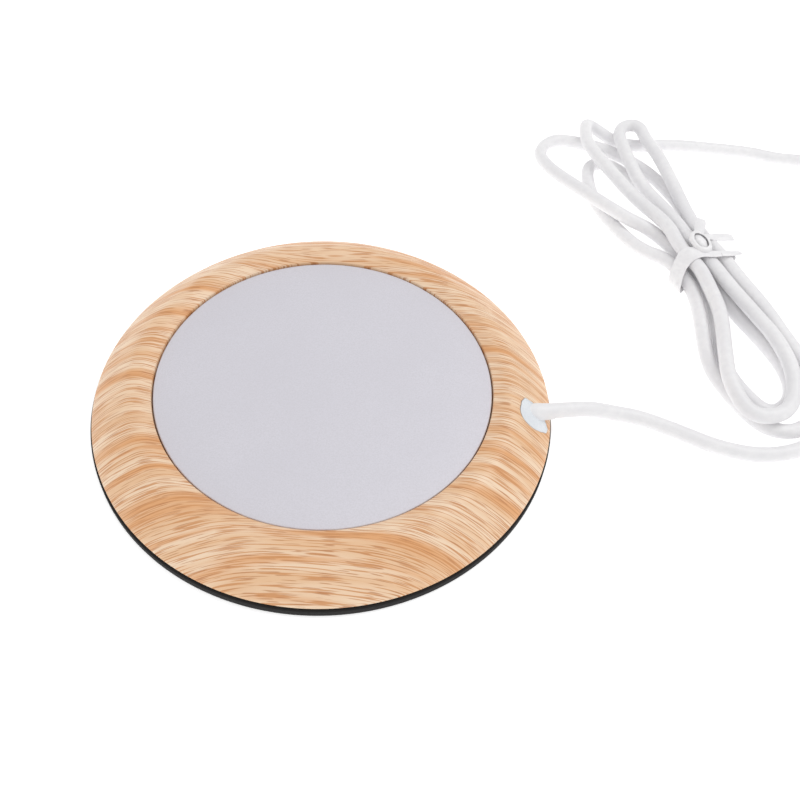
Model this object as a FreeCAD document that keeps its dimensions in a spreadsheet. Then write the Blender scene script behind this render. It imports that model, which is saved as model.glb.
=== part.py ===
# Mug warmer: a round wood-look coaster with a heated plate, and its tied-up USB cord.
# Millimetres, +Z up. The origin is the centre of the underside, and the cord leaves towards +X.
import FreeCAD, Part
import math
import os
import Sketcher
from FreeCAD import Placement, Rotation, Vector

doc = FreeCAD.newDocument("mug_warmer")

# Driving dimensions, in millimetres and degrees
SIZES = {
    # housing
    "outer_radius": 57.5, "crown_height": 11.3, "crown_inset": 11.1, "crown_round": 5.0,
    "slope_sagitta": 0.75, "lip_inset": 15.35, "lip_height": 9.5, "edge_land": 0.5, "edge_round": 0.25,
    "foot_width": 3.5, "foot_height": 1.7, "foot_gap": 0.2, "roof_wall": 1.9, "inner_wall": 2.25,
    "mat_thickness": 2.0, "mat_overhang": 0.5, "cover_thickness": 1.6, "cover_clearance": 0.3,
    # heated plate and what is under it
    "plate_gap": 0.35, "plate_recess": 0.5, "plate_thickness": 1.5, "plate_round": 0.3,
    "gasket_width": 2.6, "gasket_thickness": 0.6, "ledge_width": 3.3, "ledge_thickness": 1.4,
    "film_inset": 2.0, "film_thickness": 0.2, "track_width": 1.6, "track_thickness": 0.1,
    "track_inner": 12.0, "track_pitch": 4.0, "track_cut": 4.0, "terminal_side": 3.0,
    "terminal_height": 0.5, "pad_clearance": 0.85, "window_clearance": 0.2, "slot_margin": 1.4,
    "clamp_clearance": 0.6, "clamp_thickness": 0.6,
    # screws
    "screw_radius": 1.0, "screw_clearance": 0.1, "screw_head_radius": 1.9, "screw_head_height": 0.8,
    "screw_slot": 0.4, "boss_radius": 2.6, "boss_inset": 4.0, "boss_height": 2.9,
    "cover_screw_length": 3.6, "clamp_screw_inset": 2.55, "clamp_screw_radius": 0.8, "clamp_screw_head": 1.5,
    "clamp_head_height": 0.6, "clamp_screw_length": 1.7, "screw_angle": 45.0, "clamp_screw_angle": 22.5,
    # thermostat, along X at the centre
    "case_length": 14.0, "case_width": 5.4, "case_height": 2.5, "case_wall": 0.75, "case_roof": 0.5,
    "case_base": 0.8, "strip_thickness": 0.3, "strip_width": 2.0, "strip_reach": 3.0,
    "pivot_offset": 4.6, "pivot_radius": 0.35, "pivot_clearance": 0.05, "pivot_height": 0.65,
    "pivot_block": 0.9, "blade_width": 2.8, "blade_thickness": 0.2, "contact_offset": 4.0,
    "contact_radius": 0.7, "contact_height": 0.25, "contact_gap": 0.03, "slip": 0.05,
    # cord, its collar and wires
    "cord_diameter": 4.0, "collar_radius": 3.8, "collar_inset": 5.1, "collar_aside": 4.15,
    "collar_fit": 0.12, "bore_clearance": 0.05, "cord_clearance": 0.3, "root_inset": 4.2,
    "root_aside": 1.9, "root_drop": 5.0, "seat_depth": 2.2, "wire_radius": 0.55, "wire_slack": 0.8,
    "tie_out": 45.5, "tie_aside": 61.0, "tie_reach": 5.0, "tie_width": 5.0, "tie_thickness": 0.5,
    "strand_pitch": 4.5, "layer_rise": 4.5,
    "tie_lift": 0.1, "tie_side": 0.2, "tie_end_width": 3.3, "tie_end_length": 9.0, "core_offset": 0.8,
    # plug
    "plug_out": 93.5, "plug_aside": 113.0,
    "grip_length": 24.0, "grip_width": 15.0, "grip_height": 7.6, "grip_round": 1.6,
    "relief_length": 12.0, "relief_radius": 2.9, "relief_tip": 2.3, "shell_length": 12.0,
    "shell_width": 12.0, "shell_height": 4.5, "shell_wall": 0.3, "shell_seat": 3.0,
    "tongue_height": 1.9, "tongue_clearance": 0.1, "tongue_length": 10.5, "pin_width": 1.0,
    "pin_thickness": 0.15, "pin_length": 7.0, "pin_pitch": 2.5,
}

# Heights and radii that follow from them
DERIVED = {
    "crown_radius": "outer_radius - crown_inset",
    "lip_radius": "outer_radius - lip_inset",
    "cover_bottom": "mat_thickness",
    "cover_top": "mat_thickness + cover_thickness",
    "foot_bottom": "mat_thickness + foot_gap",
    "foot_inner": "outer_radius - foot_width",
    "foot_top": "mat_thickness + foot_gap + foot_height",
    "land_top": "mat_thickness + foot_gap + edge_land",
    "plate_radius": "lip_radius - plate_gap",
    "plate_top": "lip_height - plate_recess",
    "plate_bottom": "lip_height - plate_recess - plate_thickness",
    "ledge_top": "plate_bottom - gasket_thickness",
    "ledge_bottom": "ledge_top - ledge_thickness",
    "ledge_inner": "lip_radius - ledge_width",
    "wall_outer": "lip_radius + inner_wall",
    "roof_height": "crown_height - roof_wall",
    "film_bottom": "plate_bottom - film_thickness",
    "track_bottom": "film_bottom - track_thickness",
    "clamp_bottom": "ledge_bottom - clamp_thickness",
    "cover_radius": "foot_inner - cover_clearance",
    "boss_circle": "foot_inner - boss_inset",
    "pad_radius": "ledge_inner - pad_clearance",
    "film_radius": "pad_radius - film_inset",
    "slot_end": "film_radius + slot_margin",
    "window_radius": "case_length / 2 + strip_reach + window_clearance",
    "clamp_radius": "wall_outer - clamp_clearance",
    "clamp_screw_circle": "ledge_inner + clamp_screw_inset",
    "root_height": "crown_height - root_drop",
    "case_bottom": "film_bottom - case_height",
    "base_bottom": "case_bottom - case_base",
    "strip_top": "case_bottom + strip_thickness",
    "pivot_z": "case_bottom + strip_thickness + pivot_height",
}

sheet = doc.addObject("Spreadsheet::Sheet", "dim")
row = 0
for name, value in SIZES.items():
    row += 1
    sheet.set(f"A{row}", name)
    sheet.set(f"B{row}", str(value))
    sheet.setAlias(f"B{row}", name)
for name, formula in DERIVED.items():
    row += 1
    sheet.set(f"A{row}", name)
    sheet.set(f"B{row}", "=" + formula)
    sheet.setAlias(f"B{row}", name)
doc.recompute()


def size(name):
    """The present value of one named size."""
    return float(getattr(sheet, name))


def bind(obj, **sizes):
    """Ties properties of an object to expressions over the sheet."""
    for prop, expression in sizes.items():
        obj.setExpression(prop, expression)
    return obj


def place(obj, x="0", y="0", z="0", yaw=0.0):
    """Puts an object at expressions over the sheet, turned about Z."""
    obj.Placement = Placement(Vector(), Rotation(Vector(0, 0, 1), yaw))
    obj.setExpression("Placement.Base.x", x)
    obj.setExpression("Placement.Base.y", y)
    obj.setExpression("Placement.Base.z", z)
    return obj


def disc(name, radius, height, x="0", y="0", z="0"):
    obj = doc.addObject("Part::Cylinder", name)
    bind(obj, Radius=radius, Height=height)
    return place(obj, x, y, z)


def block(name, length, width, height, x="0", y="0", z="0"):
    """A box whose x is its low end and whose y is its middle."""
    obj = doc.addObject("Part::Box", name)
    bind(obj, Length=length, Width=width, Height=height)
    return place(obj, x, f"({y}) - ({width}) / 2", z)


def cut(name, base, tool):
    obj = doc.addObject("Part::Cut", name)
    obj.Base, obj.Tool = base, tool
    return obj


def fuse(name, *pieces):
    obj = doc.addObject("Part::MultiFuse", name)
    obj.Shapes = list(pieces)
    return obj


def group(name, *pieces):
    """Separate solids that share one node."""
    obj = doc.addObject("Part::Compound", name)
    obj.Links = list(pieces)
    return obj


def solid(name, shape):
    """A piece whose shape is worked out below from the sheet's values."""
    obj = doc.addObject("Part::Feature", name)
    obj.Shape = shape
    return obj


def sketch_on(body, role, name):
    sketch = body.newObject("Sketcher::SketchObject", name)
    plane = [f for f in body.Origin.OriginFeatures if f.Role == role][0]
    sketch.AttachmentSupport = (plane, [""])
    sketch.MapMode = "FlatFace"
    return sketch


def pin_point(sketch, line, end, x, y):
    """Holds one end of a line at two cells of the sheet."""
    for kind, cell in (("DistanceX", x), ("DistanceY", y)):
        index = sketch.addConstraint(Sketcher.Constraint(kind, -1, 1, line, end, size(cell)))
        sketch.setExpression(f"Constraints[{index}]", f"dim.{cell}")


def turned_body(name, outline, arc_after, sagitta):
    """A revolved body. The outline's points are pairs of cells, radius and height, and one side is an arc."""
    body = doc.addObject("PartDesign::Body", name)
    sketch = sketch_on(body, "XZ_Plane", name + "_profile")
    points = [Vector(size(r), size(z), 0) for r, z in outline]
    count = len(points)
    for i, point in enumerate(points):
        after = points[(i + 1) % count]
        if i != arc_after:
            sketch.addGeometry(Part.LineSegment(point, after), False)
            continue
        along = after - point
        outward = Vector(along.y, -along.x, 0).normalize()
        middle = (point + after) * 0.5 + outward * size(sagitta)
        sketch.addGeometry(Part.Arc(point, middle, after), False)
    arc = sketch.Geometry[arc_after]
    starts_first = arc.StartPoint.distanceToPoint(points[arc_after]) < 1e-6
    start_of = [1] * count
    end_of = [2] * count
    if not starts_first:
        start_of[arc_after], end_of[arc_after] = 2, 1
    for i in range(count):
        follower = (i + 1) % count
        sketch.addConstraint(Sketcher.Constraint("Coincident", i, end_of[i], follower, start_of[follower]))
    for i, (r, z) in enumerate(outline):
        pin_point(sketch, i, start_of[i], r, z)
    first, last = outline[arc_after], outline[(arc_after + 1) % count]
    chord = f"((dim.{first[0]} - dim.{last[0]})^2 + (dim.{first[1]} - dim.{last[1]})^2)"
    radius = sketch.addConstraint(Sketcher.Constraint("Radius", arc_after, arc.Radius))
    sketch.setExpression(f"Constraints[{radius}]", f"{chord} / (8 * dim.{sagitta}) + dim.{sagitta} / 2")
    turn = body.newObject("PartDesign::Revolution", name + "_turn")
    turn.Profile = sketch
    turn.ReferenceAxis = (sketch, ["V_Axis"])
    turn.Angle = 360
    doc.recompute()
    return body, turn


def ring_edges(shape, radius, height):
    """Names of the round edges of a given radius at a given height."""
    names = []
    for i, edge in enumerate(shape.Edges):
        curve = edge.Curve
        if isinstance(curve, Part.Circle) and abs(curve.Radius - radius) < 1e-4:
            if abs(curve.Center.z - height) < 1e-4:
                names.append(f"Edge{i + 1}")
    return names


# Housing ring, with its crown, its slope and the ledge that carries the plate
ring_body, ring_turn = turned_body("ring_body", [
    ("foot_inner", "foot_bottom"), ("outer_radius", "foot_bottom"), ("outer_radius", "land_top"),
    ("crown_radius", "crown_height"), ("lip_radius", "lip_height"), ("lip_radius", "ledge_top"),
    ("ledge_inner", "ledge_top"), ("ledge_inner", "ledge_bottom"), ("wall_outer", "ledge_bottom"),
    ("wall_outer", "roof_height"), ("crown_radius", "roof_height"), ("foot_inner", "foot_top"),
], 2, "slope_sagitta")
crown = ring_body.newObject("PartDesign::Fillet", "crown_fillet")
crown.Base = (ring_turn, ring_edges(ring_turn.Shape, size("crown_radius"), size("crown_height")))
crown.setExpression("Radius", "dim.crown_round")
doc.recompute()
edges = ring_body.newObject("PartDesign::Fillet", "edge_fillet")
edges.Base = (crown, ring_edges(crown.Shape, size("lip_radius"), size("lip_height"))
              + ring_edges(crown.Shape, size("outer_radius"), size("foot_bottom")))
edges.setExpression("Radius", "dim.edge_round")
ring_body.Tip = edges
doc.recompute()

QUARTERS = range(4)


def around(circle, start, quarter):
    """Place of one of four equal fasteners on a circle."""
    angle = f"({start} + {90 * quarter}) * 1 deg"
    return f"{circle} * cos({angle})", f"{circle} * sin({angle})"


def screw(name, x, y, bottom, shank_radius, shank, head_radius, head):
    """A pan-head screw that points up, with a straight slot in its head."""
    body = fuse(name + "_body", disc(name + "_head", head_radius, head, x, y, bottom),
                disc(name + "_shank", shank_radius, shank, x, y, f"{bottom} + {head}"))
    slot = block(name + "_slot", f"2 * {head_radius} + 1", "dim.screw_slot", f"0.4 * {head}",
                 f"({x}) - {head_radius} - 0.5", y, bottom)
    return cut(name, body, slot)


bosses, boss_bores, cover_bores, cover_screws = [], [], [], []
clamp_bores, ledge_bores, clamp_screws = [], [], []
for q in QUARTERS:
    bx, by = around("dim.boss_circle", "dim.screw_angle", q)
    cx, cy = around("dim.clamp_screw_circle", "dim.clamp_screw_angle", q)
    bosses.append(disc(f"boss_{q}", "dim.boss_radius", "dim.boss_height", bx, by, "dim.cover_top"))
    boss_bores.append(disc(f"boss_bore_{q}", "dim.screw_radius + dim.slip",
                           "dim.cover_screw_length + dim.slip", bx, by, "dim.cover_bottom"))
    cover_bores.append(disc(f"cover_bore_{q}", "dim.screw_radius + dim.screw_clearance",
                            "dim.cover_thickness", bx, by, "dim.cover_bottom"))
    cover_bores.append(disc(f"cover_sink_{q}", "dim.screw_head_radius + dim.screw_clearance",
                            "dim.screw_head_height", bx, by, "dim.cover_bottom"))
    cover_screws.append(screw(f"cover_screw_{q}", bx, by, "dim.cover_bottom", "dim.screw_radius",
                              "(dim.cover_screw_length - dim.screw_head_height)",
                              "dim.screw_head_radius", "dim.screw_head_height"))
    clamp_bores.append(disc(f"clamp_bore_{q}", "dim.clamp_screw_radius + dim.screw_clearance",
                            "dim.clamp_thickness", cx, cy, "dim.clamp_bottom"))
    ledge_bores.append(disc(f"ledge_bore_{q}", "dim.clamp_screw_radius + dim.slip",
                            "dim.clamp_screw_length - dim.clamp_thickness + dim.slip",
                            cx, cy, "dim.ledge_bottom"))
    clamp_screws.append(screw(f"clamp_screw_{q}", cx, cy, "dim.clamp_bottom - dim.clamp_head_height",
                              "dim.clamp_screw_radius", "dim.clamp_screw_length",
                              "dim.clamp_screw_head", "dim.clamp_head_height"))

# Collar of the cord: a round plug let into the slope from above, its face flush with it
CORD_ROOT = Vector(size("outer_radius") - size("root_inset"), -size("root_aside"), size("root_height"))
LEAVING = Vector(0.985, 0.17, 0.0).normalize()
seat = CORD_ROOT - LEAVING * size("seat_depth")
collar_x, collar_y = "dim.outer_radius - dim.collar_inset", "-dim.collar_aside"


def cord_bore(name, extra):
    obj = doc.addObject("Part::Cylinder", name)
    bind(obj, Radius=f"dim.cord_diameter / 2 + {extra}", Height="4 * dim.seat_depth")
    obj.Placement = Placement(seat, Rotation(Vector(0, 0, 1), LEAVING))
    return obj


housing_form, housing_turn = turned_body("housing_form", [
    ("wall_outer", "foot_bottom"), ("outer_radius", "foot_bottom"), ("outer_radius", "land_top"),
    ("crown_radius", "crown_height"), ("wall_outer", "lip_height"),
], 2, "slope_sagitta")
collar_plug = doc.addObject("Part::Common", "collar_plug")
collar_plug.Base = disc("collar_round", "dim.collar_radius", "dim.crown_height", collar_x, collar_y,
                        "dim.foot_top")
collar_plug.Tool = housing_form
collar_opening = disc("collar_opening", "dim.collar_radius + dim.collar_fit", "dim.crown_height",
                      collar_x, collar_y, "dim.foot_top - dim.slip")
collar_body = cut("collar_body", collar_plug, cord_bore("collar_bore", "dim.bore_clearance"))

wood_ring = cut("wood_ring", fuse("ring_with_bosses", ring_body, *bosses),
                fuse("ring_cuts", *boss_bores, *ledge_bores, collar_opening,
                     cord_bore("ring_cord_bore", "dim.cord_clearance")))

# Cover under the housing, and the mat glued under it
base_cover = cut("base_cover", disc("cover_disc", "dim.cover_radius", "dim.cover_thickness",
                                    z="dim.cover_bottom"), fuse("cover_bores", *cover_bores))
mat_body = doc.addObject("PartDesign::Body", "mat_body")
mat_sketch = sketch_on(mat_body, "XY_Plane", "mat_outline")
mat_sketch.addGeometry(Part.Circle(Vector(), Vector(0, 0, 1), size("outer_radius")), False)
mat_sketch.addConstraint(Sketcher.Constraint("Coincident", 0, 3, -1, 1))
mat_radius = mat_sketch.addConstraint(Sketcher.Constraint("Radius", 0, size("outer_radius")))
mat_sketch.setExpression(f"Constraints[{mat_radius}]", "dim.outer_radius + dim.mat_overhang")
mat_pad = mat_body.newObject("PartDesign::Pad", "mat_pad")
mat_pad.Profile = mat_sketch
mat_pad.setExpression("Length", "dim.mat_thickness")
doc.recompute()
mat_round = mat_body.newObject("PartDesign::Fillet", "mat_round")
mat_round.Base = (mat_pad, ring_edges(mat_pad.Shape, size("outer_radius") + size("mat_overhang"),
                                      size("mat_thickness")))
mat_round.setExpression("Radius", "dim.edge_round")
mat_body.Tip = mat_round

# Heated plate, its seal, and the stack under it
plate_disc = disc("plate_disc", "dim.plate_radius", "dim.plate_thickness", z="dim.plate_bottom")
doc.recompute()
heating_plate = doc.addObject("Part::Fillet", "heating_plate")
heating_plate.Base = plate_disc
plate_edge = ring_edges(plate_disc.Shape, size("plate_radius"), size("plate_top"))[0]
heating_plate.Edges = [(int(plate_edge[4:]), size("plate_round"), size("plate_round"))]
plate_gasket = cut("plate_gasket",
                   disc("gasket_disc", "dim.plate_radius", "dim.gasket_thickness", z="dim.ledge_top"),
                   disc("gasket_hole", "dim.plate_radius - dim.gasket_width", "dim.gasket_thickness",
                        z="dim.ledge_top"))
heater_film = disc("heater_film", "dim.film_radius", "dim.film_thickness", z="dim.film_bottom")


def heater_track_shape():
    """Rings of track, each open on one side, joined by short bridges at alternate sides of the opening."""
    bottom, thick = size("track_bottom"), size("track_thickness")
    width, pitch, inner, opening = (size(n) for n in ("track_width", "track_pitch", "track_inner", "track_cut"))
    outermost = size("film_radius") - width
    count = int((outermost - inner) // pitch) + 1
    track = None
    for i in range(count):
        low = inner + i * pitch
        ring = Part.makeCylinder(low + width, thick, Vector(0, 0, bottom))
        ring = ring.cut(Part.makeCylinder(low, thick, Vector(0, 0, bottom)))
        gap = Part.makeBox(low + 2 * width, opening, thick, Vector(0, -opening / 2, bottom))
        ring = ring.cut(gap)
        track = ring if track is None else track.fuse(ring)
        if i < count - 1:
            side = 1 if i % 2 else -1
            start = side * (opening + width) / 2 - width / 2
            bridge = Part.makeBox(pitch + width / 2, width, thick, Vector(low + width / 2, start, bottom))
            track = track.fuse(bridge)
    return track.removeSplitter(), inner + (count - 1) * pitch


track_shape, outer_track = heater_track_shape()
heater_track = solid("heater_track", track_shape)
terminal_height = "dim.terminal_height"
terminal_x = outer_track + size("track_width") / 2
TERMINALS = ((size("track_inner") + size("track_width") / 2, 1), (terminal_x, -1))
pads = []
for number, (tx, side) in enumerate(TERMINALS):
    pads.append(block(f"terminal_pad_{number}", "dim.terminal_side", "dim.terminal_side", terminal_height,
                      f"{tx} - dim.terminal_side / 2",
                      f"{side} * (dim.track_cut / 2 + dim.terminal_side / 2)",
                      f"dim.track_bottom - {terminal_height}"))
heater_terminals = group("heater_terminals", *pads)

window = disc("pad_window", "dim.window_radius", "dim.plate_top", z="0")
slot = block("wire_window", "dim.slot_end", "dim.track_cut + 3 * dim.terminal_side",
             "dim.plate_top", "0", "0", "0")
insulation_pad = cut("insulation_pad", disc("pad_disc", "dim.pad_radius",
                                            "dim.track_bottom - dim.ledge_bottom", z="dim.ledge_bottom"),
                     fuse("pad_windows", window, slot))
clamp_plate = cut("clamp_plate", disc("clamp_disc", "dim.clamp_radius", "dim.clamp_thickness",
                                      z="dim.clamp_bottom"),
                  fuse("clamp_holes", disc("clamp_window", "dim.window_radius", "dim.plate_top"),
                       block("clamp_slot", "dim.slot_end", "dim.track_cut + 3 * dim.terminal_side",
                             "dim.plate_top"), *clamp_bores))

# Thermostat: a case and its base, two contact strips, and the bimetal blade that turns
half_case = "dim.case_length / 2"
case_outer = block("case_outer", "dim.case_length", "dim.case_width", "dim.case_height",
                   f"-{half_case}", "0", "dim.case_bottom")
case_hollow = block("case_hollow", "dim.case_length - 2 * dim.case_wall",
                    "dim.case_width - 2 * dim.case_wall", "dim.case_height - dim.case_roof",
                    f"dim.case_wall - {half_case}", "0", "dim.case_bottom")
case_notch = block("case_notch", "2 * dim.case_length", "dim.strip_width + 2 * dim.slip",
                   "dim.strip_thickness + dim.slip", "-dim.case_length", "0", "dim.case_bottom")
thermostat_case = cut("thermostat_case", case_outer, fuse("case_cuts", case_hollow, case_notch))
thermostat_base = block("thermostat_base", "dim.case_length", "dim.case_width", "dim.case_base",
                        f"-{half_case}", "0", "dim.base_bottom")

strip_a = block("strip_a", f"{half_case} + dim.strip_reach - dim.pivot_offset + dim.pivot_block",
                "dim.strip_width", "dim.strip_thickness", f"-{half_case} - dim.strip_reach", "0",
                "dim.case_bottom")
pivot_stand = block("pivot_stand", "2 * dim.pivot_block", "dim.blade_width",
                    "2 * dim.pivot_height", "-dim.pivot_offset - dim.pivot_block", "0", "dim.strip_top")
pivot_bore = doc.addObject("Part::Cylinder", "pivot_bore")
bind(pivot_bore, Radius="dim.pivot_radius + dim.pivot_clearance", Height="2 * dim.blade_width")
pivot_bore.Placement = Placement(Vector(), Rotation(Vector(1, 0, 0), 90))
pivot_bore.setExpression("Placement.Base.x", "-dim.pivot_offset")
pivot_bore.setExpression("Placement.Base.y", "dim.blade_width")
pivot_bore.setExpression("Placement.Base.z", "dim.pivot_z")
pivot_mouth = block("pivot_mouth", "2 * dim.pivot_block", "2 * dim.blade_width",
                    "2 * dim.pivot_radius", "-dim.pivot_offset", "0", "dim.pivot_z - dim.pivot_radius / 2")
moving_terminal = cut("moving_terminal", fuse("terminal_a_body", strip_a, pivot_stand),
                      fuse("terminal_a_cuts", pivot_bore, pivot_mouth))
contact_gap_height = ("dim.pivot_z - dim.blade_thickness / 2 - dim.contact_height - dim.contact_gap"
                      " - dim.strip_top")
strip_b = block("strip_b", f"{half_case} + dim.strip_reach - dim.contact_offset + dim.contact_radius",
                "dim.strip_width", "dim.strip_thickness", "dim.contact_offset - dim.contact_radius", "0",
                "dim.case_bottom")
fixed_terminal = fuse("fixed_terminal", strip_b,
                      disc("fixed_contact", "dim.contact_radius", contact_gap_height,
                           "dim.contact_offset", "0", "dim.strip_top"))
blade_pivot = doc.addObject("Part::Cylinder", "blade_pivot")
bind(blade_pivot, Radius="dim.pivot_radius", Height="dim.blade_width")
blade_pivot.Placement = Placement(Vector(), Rotation(Vector(1, 0, 0), 90))
blade_pivot.setExpression("Placement.Base.x", "-dim.pivot_offset")
blade_pivot.setExpression("Placement.Base.y", "dim.blade_width / 2")
blade_pivot.setExpression("Placement.Base.z", "dim.pivot_z")
blade_strip = block("blade_strip", "dim.pivot_offset + dim.contact_offset + dim.contact_radius",
                    "dim.blade_width", "dim.blade_thickness", "-dim.pivot_offset", "0",
                    "dim.pivot_z - dim.blade_thickness / 2")
blade_contact = disc("blade_contact", "dim.contact_radius", "dim.contact_height", "dim.contact_offset",
                     "0", "dim.pivot_z - dim.blade_thickness / 2 - dim.contact_height")
bimetal_blade = fuse("bimetal_blade", blade_pivot, blade_strip, blade_contact)
doc.recompute()


def rounded_path(points, label):
    """Straight runs through the points, joined by tangent arcs as large as the runs allow."""
    reach = 0.45
    parts, smallest, at = [], None, points[0]
    for before, corner, after in zip(points, points[1:], points[2:]):
        back, ahead = before - corner, after - corner
        short = min(back.Length, ahead.Length) * reach
        first = corner + back.normalize() * short
        last = corner + ahead.normalize() * short
        half_turn = (math.pi - back.getAngle(ahead)) / 2
        radius = short / math.tan(half_turn)
        smallest = radius if smallest is None else min(smallest, radius)
        toward = (back + ahead).normalize()
        middle = corner + toward * (radius / math.cos(half_turn) - radius)
        parts.append(Part.LineSegment(at, first).toShape())
        parts.append(Part.Arc(first, middle, last).toShape())
        at = last
    parts.append(Part.LineSegment(at, points[-1]).toShape())
    wire = Part.Wire(parts)
    print(f"{label}: length {wire.Length:.1f} mm, least radius {smallest:.1f} mm")
    return wire


def tube(points, radius, label):
    wire = rounded_path(points, label)
    heading = (points[1] - points[0]).normalize()
    ring = Part.Wire(Part.Circle(points[0], heading, radius).toShape())
    shape = wire.makePipeShell([ring], True, False)
    share = shape.Volume / (math.pi * radius ** 2 * wire.Length)
    print(f"{label}: volume over section times length {share:.4f}")
    return shape, wire


def least_self_gap(wire, diameter):
    """The least clear distance between turns, on points along the line."""
    step = 0.8
    points = wire.discretize(Distance=step)
    near = int(4.5 * diameter / step)
    least = 1e9
    for i, point in enumerate(points):
        for other in points[i + near:]:
            least = min(least, point.distanceToPoint(other))
    return least - diameter


# Cord route. The hank's strands pass the tie in two layers, four below and three above.
TIE = Vector(size("outer_radius") + size("tie_out"), size("tie_aside"), 0)
ACROSS = Vector(math.cos(math.radians(30)), math.sin(math.radians(30)), 0)
LOW = size("cord_diameter") / 2
HIGH = LOW + size("layer_rise")


def waist(slot, height):
    """Two points of a strand, one each side of the tie, its lower end first."""
    along = Vector(-ACROSS.y, ACROSS.x, 0)
    middle = TIE + ACROSS * (slot * size("strand_pitch"))
    lifted = Vector(0, 0, height + size("tie_thickness") + size("tie_lift"))
    return [middle + lifted + along * side * size("tie_reach") for side in (-1, 1)]


def beyond(*points):
    """Points of the cord's route. Their x is counted outwards from the housing's edge."""
    return [Vector(size("outer_radius") + x, y, z) for x, y, z in points]


route_lead = beyond((3.0, -0.4, seat.z), (9.5, 1.4, HIGH - 1.15), (16.5, 2.6, LOW + 0.8),
                    (23.5, 2.4, LOW), (33.0, -1.2, LOW), (42.5, -5.4, LOW + 0.1),
                    (53.5, -6.8, LOW + 0.1), (64.5, -3.6, LOW + 0.1), (73.0, 3.5, LOW + 0.1))
strand_1 = beyond((75.0, 14.5, LOW), (71.0, 27.0, LOW), (64.6, 38.1, LOW), (58.1, 48.6, LOW))
far_loop = beyond((47.1, 79.0, LOW), (42.1, 92.7, LOW + 0.1), (34.0, 105.0, LOW + 0.1),
                  (22.9, 113.1, LOW), (14.5, 114.8, LOW + 0.4), (5.6, 116.8, LOW),
                  (-0.1, 109.1, LOW + 0.1), (2.2, 100.4, LOW + 1.3), (7.9, 91.1, HIGH - 1.1),
                  (14.4, 83.0, HIGH + 0.5), (24.7, 74.6, HIGH - 0.1), (32.9, 73.1, LOW + 1.8))
inner_bend = beyond((48.1, 45.1, LOW), (47.8, 33.8, LOW), (47.6, 23.4, LOW), (50.8, 14.1, LOW + 0.2),
                    (57.2, 6.2, LOW), (64.3, 11.6, LOW + 0.5), (64.8, 22.0, LOW + 0.3),
                    (59.2, 33.5, LOW + 0.4), (53.4, 43.6, LOW))
short_loop = beyond((42.1, 76.9, LOW + 0.1), (35.9, 88.8, LOW + 0.2), (28.5, 99.8, LOW + 0.3),
                    (22.0, 105.7, LOW + 0.1), (17.1, 104.6, LOW), (15.2, 98.9, LOW + 0.6),
                    (16.1, 89.4, LOW), (20.2, 78.5, LOW), (28.9, 65.8, LOW))
outer_bend = beyond((43.5, 42.8, LOW + 1.1), (43.1, 31.7, LOW + 1.3), (43.4, 20.4, LOW + 0.8),
                    (47.8, 10.4, LOW + 1.1), (55.2, 1.7, LOW + 0.1), (64.0, 1.0, LOW + 0.9),
                    (70.1, 7.5, HIGH - 0.7), (69.9, 17.9, HIGH - 0.3), (65.8, 29.1, HIGH - 1.1),
                    (61.1, 41.0, HIGH - 0.2), (56.1, 50.7, HIGH))
right_loop = beyond((44.3, 77.5, HIGH - 0.5), (41.2, 92.0, HIGH + 0.1), (37.4, 105.4, HIGH + 1.1),
                    (34.9, 113.9, HIGH - 0.1), (33.2, 120.7, HIGH + 0.6), (28.2, 121.1, HIGH - 0.3),
                    (25.6, 115.0, HIGH + 0.4), (27.6, 103.0, HIGH + 0.8), (30.9, 90.7, HIGH - 0.4),
                    (39.5, 77.2, HIGH - 0.7))
upper_bend = beyond((51.5, 49.7, HIGH + 0.2), (56.3, 39.5, HIGH + 0.6), (61.9, 28.2, HIGH + 0.9),
                    (64.2, 16.2, HIGH + 0.6), (60.7, 3.9, HIGH + 0.3), (50.3, 1.4, HIGH + 0.3),
                    (45.8, 11.7, HIGH + 1.2), (46.8, 24.5, HIGH + 0.6), (48.0, 37.8, HIGH + 0.1),
                    (46.1, 48.0, HIGH + 0.1))
left_loop = beyond((36.7, 71.2, HIGH + 1.6), (28.7, 83.0, HIGH + 0.1), (20.5, 96.4, HIGH + 1.2),
                   (15.2, 107.4, HIGH + 1.0), (14.8, 115.5, HIGH + 0.5), (16.0, 122.2, HIGH - 1.3),
                   (20.6, 122.6, LOW + 0.4), (26.4, 116.9, LOW))
route_tail = beyond((34.4, 116.1, LOW + 0.1), (44.9, 118.4, LOW + 0.1), (59.0, 118.3, LOW),
                    (71.4, 117.5, LOW + 0.2), (79.5, 115.0, LOW + 0.4), (86.5, 113.14, LOW + 1.8))
PLUG_HEADING = Vector(1.0, -0.02, 0).normalize()
PLUG_BACK = Vector(size("outer_radius") + size("plug_out"), size("plug_aside"),
                   size("grip_height") / 2)


def down(slot, height):
    return waist(slot, height)[::-1]


hank_points = (strand_1 + waist(1.5, LOW) + far_loop + down(-0.5, LOW) + inner_bend + waist(0.5, LOW)
               + short_loop + down(-1.5, LOW) + outer_bend + waist(1.05, HIGH) + right_loop
               + down(0.05, HIGH) + upper_bend + waist(-0.95, HIGH) + left_loop)
join_1 = (route_lead[-1] + hank_points[0]) * 0.5
join_2 = (route_tail[1] + route_tail[2]) * 0.5
lead_points = [seat] + route_lead + [join_1]
hank_line = [join_1] + hank_points + route_tail[:2] + [join_2]
tail_points = [join_2] + route_tail[2:] + [PLUG_BACK]
cord_radius = size("cord_diameter") / 2
lead_shape, lead_wire = tube(lead_points, cord_radius, "lead")
hank_shape, hank_wire = tube(hank_line, cord_radius, "hank")
tail_shape, tail_wire = tube(tail_points, cord_radius, "tail")
cord_lead = solid("cord_lead", lead_shape)
cord_hank = solid("cord_hank", hank_shape)
cord_tail = solid("cord_tail", tail_shape)
print(f"hank: least gap to itself {least_self_gap(hank_wire, size('cord_diameter')):.2f} mm")
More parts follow.
